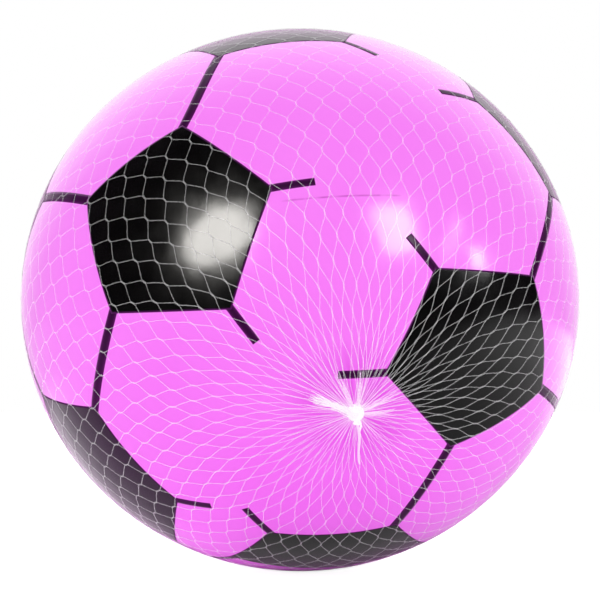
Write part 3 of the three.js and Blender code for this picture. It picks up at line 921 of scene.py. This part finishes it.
# The four runs of the tie: name, share by which it tapers, and width in tie threads
TIE_RUNS = (("_tie_turns", 0, 1), ("_tie_knot", 0, 1), ("_tie_end", 0.35, 1.25), ("_tie_stub", 0.3, 1))


def beside_gather(spot, bearing, distance, aside, lift):
    """Points over the ball at a distance from a gather along a bearing, and aside to the left of it: the
    gather's direction plus both offsets in radii of the ball, carried out and lifted."""
    along = bearing_at(spot, bearing)
    left = np.cross(spot, along)
    flat = (along * distance[..., None] + left * aside[..., None]) / BALL_RADIUS
    return on_ball(spot + flat, lift)


def fold_paths(spot, bundles, rng):
    """Threads that run out from the neck in every bearing, and longer ones in bundles. Each lies high at the
    neck and comes down to the ball by an exponential of the distance."""
    share = np.linspace(0, 1, FOLD_POINTS)[None]
    bearing = rng.uniform(0, 2 * np.pi, FOLD_THREADS)
    length = FOLD_LENGTH * rng.uniform(*FOLD_SHARES, FOLD_THREADS)
    for middle, reach in bundles:
        spread = rng.normal(0, BUNDLE_SPREAD, BUNDLE_THREADS)
        bearing = np.append(bearing, np.radians(middle) + spread)
        length = np.append(length, reach * rng.uniform(*FOLD_SHARES, BUNDLE_THREADS))
    bearing, length = bearing[:, None], length[:, None]
    bend = rng.normal(0, FOLD_BEND, length.shape) * np.sin(share * FOLD_WAVE)
    distance = NECK_RADIUS + length * share
    high = rng.uniform(*FOLD_HEIGHTS, length.shape) * (BUNCH_HEIGHT + LAYER_HEIGHT)
    lift = FOLD_FOOT + FOLD_THREAD + high * np.exp(-(distance / BUNCH_WIDTH)**2)
    paths = beside_gather(spot, bearing + 0 * share, distance, bend, lift)
    return paths, FOLD_THREAD * (1 - THREAD_TAPER * share**2) + 0 * length


def tuft_paths(spot, bearing, rng):
    """Loose threads that stand up from a round root, fold over along the bearing and lie down in a fan. It
    opens in two steps, each with its size, its start and its stretch as shares of the tuft's length. The
    lift is a hump that is highest near the root."""
    share = np.linspace(0, 1, TUFT_POINTS)[None]
    each = (TUFT_THREADS, 1)
    root = TUFT_ROOT * np.sqrt(rng.uniform(0, 1, each))
    root_turn = rng.uniform(0, 2 * np.pi, each)
    fan = rng.normal(0, 1, each)
    longer = (1 - TUFT_SHORTEST) * rng.uniform(0, 1, each)**TUFT_CROWDING
    layer = rng.uniform(0, 1, each)
    wave = np.sin(share * rng.uniform(*TUFT_WAVES, each) + rng.uniform(*TUFT_PHASES, each))
    upright = 1 - smooth(share / TUFT_FOLDED)
    out = (TUFT_SHORTEST + longer) * share**TUFT_CURL
    distance = root * np.cos(root_turn) * upright + TUFT_LENGTH * out
    flare = sum(size * smooth((out - start) / over) for size, start, over in TUFT_FLARES)
    aside = root * np.sin(root_turn) * upright + fan * TUFT_WIDTH * flare + wave * TUFT_WAVE * share
    hump = smooth(share / HUMP_AT) * (1 - smooth((share - HUMP_AT) / HUMP_FALL))
    top = TUFT_TOP * (TUFT_FLATTEST + (1 - TUFT_FLATTEST) * layer)
    lift = TUFT_LOW + TUFT_LAYERS * layer + top * hump
    paths = beside_gather(spot, np.full(lift.shape, bearing), distance, aside, lift)
    return paths, TUFT_THREAD * (1 - THREAD_TAPER * share**2) + 0 * layer


def tie_paths(spot, bearing):
    """The tie's thread in four runs: turns wound up over the neck as a dome, a trefoil for the knot at the
    side, and two ends that drop from the knot and lie along the ball."""
    normal = unit(spot / HALF_AXES)
    foot = on_ball(spot)
    climb = np.linspace(0, 1, TIE_POINTS)[:, None]
    wound = bearing_at(spot, bearing + 2 * np.pi * TIE_TURNS * climb[:, 0])
    height = TIE_FOOT + TIE_RISE * np.sin(climb * np.pi / 2)
    radius = TIE_RING * np.cos(climb * TIE_DOME)**TIE_BULGE
    helix = foot + wound * radius + normal * height
    spin = np.linspace(0, 2 * np.pi, KNOT_POINTS)
    out = bearing_at(spot, bearing)
    left = np.cross(normal, out)
    trefoil = np.stack((
        np.sin(spin) + 2 * np.sin(2 * spin),
        np.cos(spin) - 2 * np.cos(2 * spin),
        -np.sin(3 * spin),
    ), axis=-1) * KNOT_SIZE / 2
    core = foot + out * (TIE_RING + 0.5 * KNOT_SIZE) + normal * (TIE_FOOT + TIE_RISE / 2)
    knot = core + trefoil[:, :1] * left + trefoil[:, 1:2] * out + trefoil[:, 2:] * normal * KNOT_DEPTH
    share = np.linspace(0, 1, END_POINTS)
    start = TIE_RING + KNOT_SIZE
    drop = TIE_FOOT * (1 - smooth(share / END_DROP)) + FOLD_FOOT + 2 * TIE_RADIUS
    swing = END_SWING * np.sin(share * END_WAVE)
    bearing = np.full(share.shape, bearing)
    long_end = beside_gather(spot, bearing, start + LONG_END * share, swing, drop)
    beside = bearing + SHORT_TURN
    short_end = beside_gather(spot, beside, start + SHORT_END * share, swing + SHORT_ASIDE, drop)
    return helix, knot, long_end, short_end


tie_white = white_thread("tie_thread", TIE_WHITE, TIE_GROOVE_SHADE)
# The folds are painted pink for the ball's light that shows through the white thread
fold_pink_light = white_thread("fold_thread", FOLD_PINK_LIGHT, FOLD_PINK_GROOVE_SHADE)
tuft_pale = white_thread("tuft_thread", TUFT_WHITE, TUFT_PINK_GROOVE_SHADE)
for end_name, end_spot, bundles, (tuft_turn, tail_turn) in (
    ("front", GATHER_AXIS, FRONT_BUNDLES, FRONT_TURNS),
    ("rear", -GATHER_AXIS, REAR_BUNDLES, REAR_TURNS),
):
    leaning = unit(unit(end_spot / HALF_AXES) + SIDE_LEAN * square_to(end_spot)[0])
    fold_run = fold_paths(end_spot, bundles, rng)
    folds = add_threads(end_name + "_folds", *fold_run, LOOSE_SIDES, fold_pink_light)
    tuft_run = tuft_paths(end_spot, tuft_turn, rng)
    tuft = add_threads(end_name + "_tuft", *tuft_run, LOOSE_SIDES, tuft_pale, leaning)
    for loose in (folds, tuft):
        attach(loose, "ball")
        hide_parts("net_sleeve")
    for (run_name, taper, width), run in zip(TIE_RUNS, tie_paths(end_spot, tail_turn)):
        # The long end gets the folds' painted pink light
        look = fold_pink_light if run_name == "_tie_end" else tie_white
        run_radii = TIE_RADIUS * width * (1 - taper * np.linspace(0, 1, len(run))[None])
        tie = add_threads(end_name + run_name, run[None], run_radii, TIE_SIDES, look, leaning)
        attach(tie, "ball")
        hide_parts(end_name + "_tie")

# Studio: a pale floor under the ball, a white surround that is darker on the lens's side, an overhead
# box for soft shading, and four boxes that the ball mirrors to the lens, which looks level along +Y.
FLOOR_RADIUS = 1.3
FLOOR_RINGS = 24
FLOOR_COLUMNS = 96
FLOOR_GAP = 0.0002
FLOOR_WHITE = (0.90, 0.90, 0.90, 1)
# Painted grey shadow of the floor round the ball's foot
FLOOR_PAINTED_SHADOW = (0.35, 0.35, 0.35, 1)
FLOOR_SEEN_GLOW = 0.92
GLOW_RAMP = (-0.05, 0.03, 0.26, 0.85)
FOOT_SHADE = (0.0, 0.03, 0.0)
FOOT_RAMP = (0.045, 0.070, 0, 1)
LEFT_PATCH = (-0.07, -0.03, 0.0)
PATCH_RAMP = (0.03, 0.07, 0.45, 0)
BRIGHT_TOWARDS = (0.06, 0.92, 0.47)
BRIGHT_RAMP = (0.3, 1.03, 0.33, 1.15)
FAR_FRONT_RAMP = (-0.34, -0.12, 0.08, 1)
FAR_RIGHT_RAMP = (0.15, 0.45, 1, 2.3)
LEFT_RAMP = (-0.20, -0.08, 0.45, 1)
LEFT_GLEAM = (-0.15, 0.17, 0.0)
GLEAM_RAMP = (0.06, 0.21, 1, 0)
AMBIENT_RAMP = (-1, 1, 0.89, 1.30)
SKY_TOWARDS = (0.03, 0.85, 0.60)
SKY_RAMP = (0.60, 1.03, 0.01, 1.15)
WHITE = (1, 1, 1, 1)
BLACK = (0, 0, 0, 1)
OVERHEAD_PLACE = np.array((-0.1, -1.0, 1.4))
OVERHEAD_SIZE = (0.9, 0.9)
OVERHEAD_RADIANCE = 1.1
WHITE_LIGHT = (1.0, 1.0, 1.0)
WARM_LIGHT = (1.0, 0.975, 0.93)
BOX_DISTANCE = 1.3

# Boxes that the ball mirrors: name, pixel of the image, size, radiance, colour, shape and roll
MIRRORED_BOXES = (
    ("left_box", (219, 235), (0.72, 0.54), 19.5, WARM_LIGHT, "ELLIPSE", np.radians(35)),
    ("right_box", (397, 228), (0.34, 0.46), 14, WHITE_LIGHT, "RECTANGLE", 0.0),
    ("side_box", (477.5, 259), (0.17, 0.18), 16, WHITE_LIGHT, "RECTANGLE", 0.0),
    ("column_box", (453, 238), (0.05, 0.42), 11, WHITE_LIGHT, "RECTANGLE", np.radians(-43)),
)


def mixed(share, first, second):
    """The number that lies between two numbers at a share from 0 to 1."""
    return add_node(share.id_data, "ShaderNodeMix", {0: share, 2: first, 3: second}).outputs[0]


def round_spot(place, spot, ramp):
    """A number that follows a ramp with the distance from a spot."""
    return remap(on_vectors("DISTANCE", place, spot)["Value"], *ramp)


def pale_floor():
    """Plain white that keeps the shadow and glows nearly white to the lens. Round the foot its colour is a
    painted grey shadow to all rays but the lens's. It glows to light the ball less from in front than from
    behind, not from the foot, and more from a patch at the left. In reflections it shows a painted glow:
    black at the foot, grey in front and white behind, darker far in front and at the left, lighter far to
    the right, with a gleam behind the ball at the left."""
    material, shader, place = new_material("pale_floor")
    path = add_node(material.node_tree, "ShaderNodeLightPath", {}).outputs
    seen, mirrored = path["Is Camera Ray"], path["Is Glossy Ray"]
    level = on_vectors("MULTIPLY", place, (1, 1, 0))["Vector"]
    right = distance_along(place, (1, 0, 0))
    back = distance_along(place, (0, 1, 0))
    foot = round_spot(level, FOOT_SHADE, FOOT_RAMP)
    # Painted grey shadow round the foot, for all rays but the lens's
    painted_shadow_white = blend(calculate("MAXIMUM", foot, seen), FLOOR_PAINTED_SHADOW, FLOOR_WHITE)
    glow = product(foot, remap(back, *GLOW_RAMP))
    glow = calculate("ADD", glow, round_spot(level, LEFT_PATCH, PATCH_RAMP))
    glow = mixed(seen, glow, FLOOR_SEEN_GLOW)
    behind = distance_along(on_vectors("NORMALIZE", place)["Vector"], BRIGHT_TOWARDS)
    look = product(
        foot,
        remap(behind, *BRIGHT_RAMP),
        remap(back, *FAR_FRONT_RAMP),
        remap(right, *FAR_RIGHT_RAMP),
        remap(right, *LEFT_RAMP),
    )
    look = calculate("ADD", look, round_spot(level, LEFT_GLEAM, GLEAM_RAMP))
    feed(shader, {
        "Base Color": blend(mirrored, painted_shadow_white, BLACK),
        "Specular IOR Level": 0.0,
        "Emission Strength": mixed(mirrored, glow, look),
    })
    return material


def add_floor():
    """Rings of a flat disc just under the lowest thread."""
    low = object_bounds()[0].z - FLOOR_GAP
    radius = np.linspace(FLOOR_RADIUS, 0, FLOOR_RINGS)[:, None]
    turn = np.linspace(0, 2 * np.pi, FLOOR_COLUMNS, endpoint=False)[None]
    level = np.full((FLOOR_RINGS, FLOOR_COLUMNS), low)
    points = np.stack((radius * np.cos(turn), radius * np.sin(turn), level), axis=-1)
    return add_piece("floor", points, [ring_faces(*level.shape)], pale_floor(), closed=True)


def add_surround():
    """World light: white to the lens, and nearly even on the object, a little stronger from behind it. In
    reflections it is white behind the ball and dark on the lens's side, by how far the direction points
    towards the bright side."""
    world = bpy.data.worlds.new("studio")
    world.use_nodes = True
    world.cycles.sampling_method = "NONE"
    tree = world.node_tree
    path = tree.nodes.new("ShaderNodeLightPath").outputs
    direction = tree.nodes.new("ShaderNodeTexCoord").outputs["Generated"]
    mirrored = remap(distance_along(direction, SKY_TOWARDS), *SKY_RAMP)
    even = remap(distance_along(direction, (0, 1, 0)), *AMBIENT_RAMP)
    light = mixed(path["Is Glossy Ray"], even, mirrored)
    light = mixed(path["Is Camera Ray"], light, 1.0)
    feed(tree.nodes["Background"], {"Color": WHITE, "Strength": light})
    bpy.context.scene.world = world


def add_box(name, place, target, size, radiance, colour, shape="RECTANGLE", roll=0.0):
    """A soft box that faces a target, hidden from the lens. Its power is pi times its area times its
    radiance, and the area of an ellipse is less by a quarter of pi."""
    lamp = bpy.data.lights.new(name, "AREA")
    lamp.shape = shape
    lamp.size, lamp.size_y = size
    filled = 1.0 if shape == "RECTANGLE" else np.pi / 4
    lamp.energy = np.pi * size[0] * size[1] * filled * radiance
    lamp.color = colour
    box = bpy.data.objects.new(name, lamp)
    box.location = Vector(place)
    facing = Vector(target - place).to_track_quat("-Z", "Y")
    box.rotation_euler = (facing @ Quaternion((0, 0, 1), roll)).to_euler()
    box.visible_camera = False
    bpy.context.scene.collection.objects.link(box)
    return box


def add_mirrored_box(name, pixel, size, radiance, colour, shape, roll):
    """A box whose image in the ball shows at a pixel: it stands along the lens's ray, reflected in the ball's
    normal there, and it lights reflections alone."""
    direction = under_pixel(pixel)
    spot = on_ball(direction)
    normal = unit(direction / HALF_AXES)
    to_lens = unit(LENS_PLACE - spot)
    mirrored = 2 * (normal @ to_lens) * normal - to_lens
    box = add_box(name, spot + mirrored * BOX_DISTANCE, spot, size, radiance, colour, shape, roll)
    box.visible_diffuse = False


floor = add_floor()
add_surround()
overhead = add_box("overhead", OVERHEAD_PLACE, np.zeros(3), OVERHEAD_SIZE, OVERHEAD_RADIANCE, WHITE_LIGHT)
overhead.visible_glossy = False
for box_values in MIRRORED_BOXES:
    add_mirrored_box(*box_values)

lens = bpy.data.cameras.new("lens")
lens.lens = lens.sensor_width / 2 / HALF_VIEW
camera = bpy.data.objects.new("camera", lens)
camera.location = Vector(LENS_PLACE)
camera.rotation_euler = (np.pi / 2, 0, 0)
bpy.context.scene.collection.objects.link(camera)
bpy.context.scene.camera = camera
bpy.context.scene.view_settings.view_transform = "Standard"
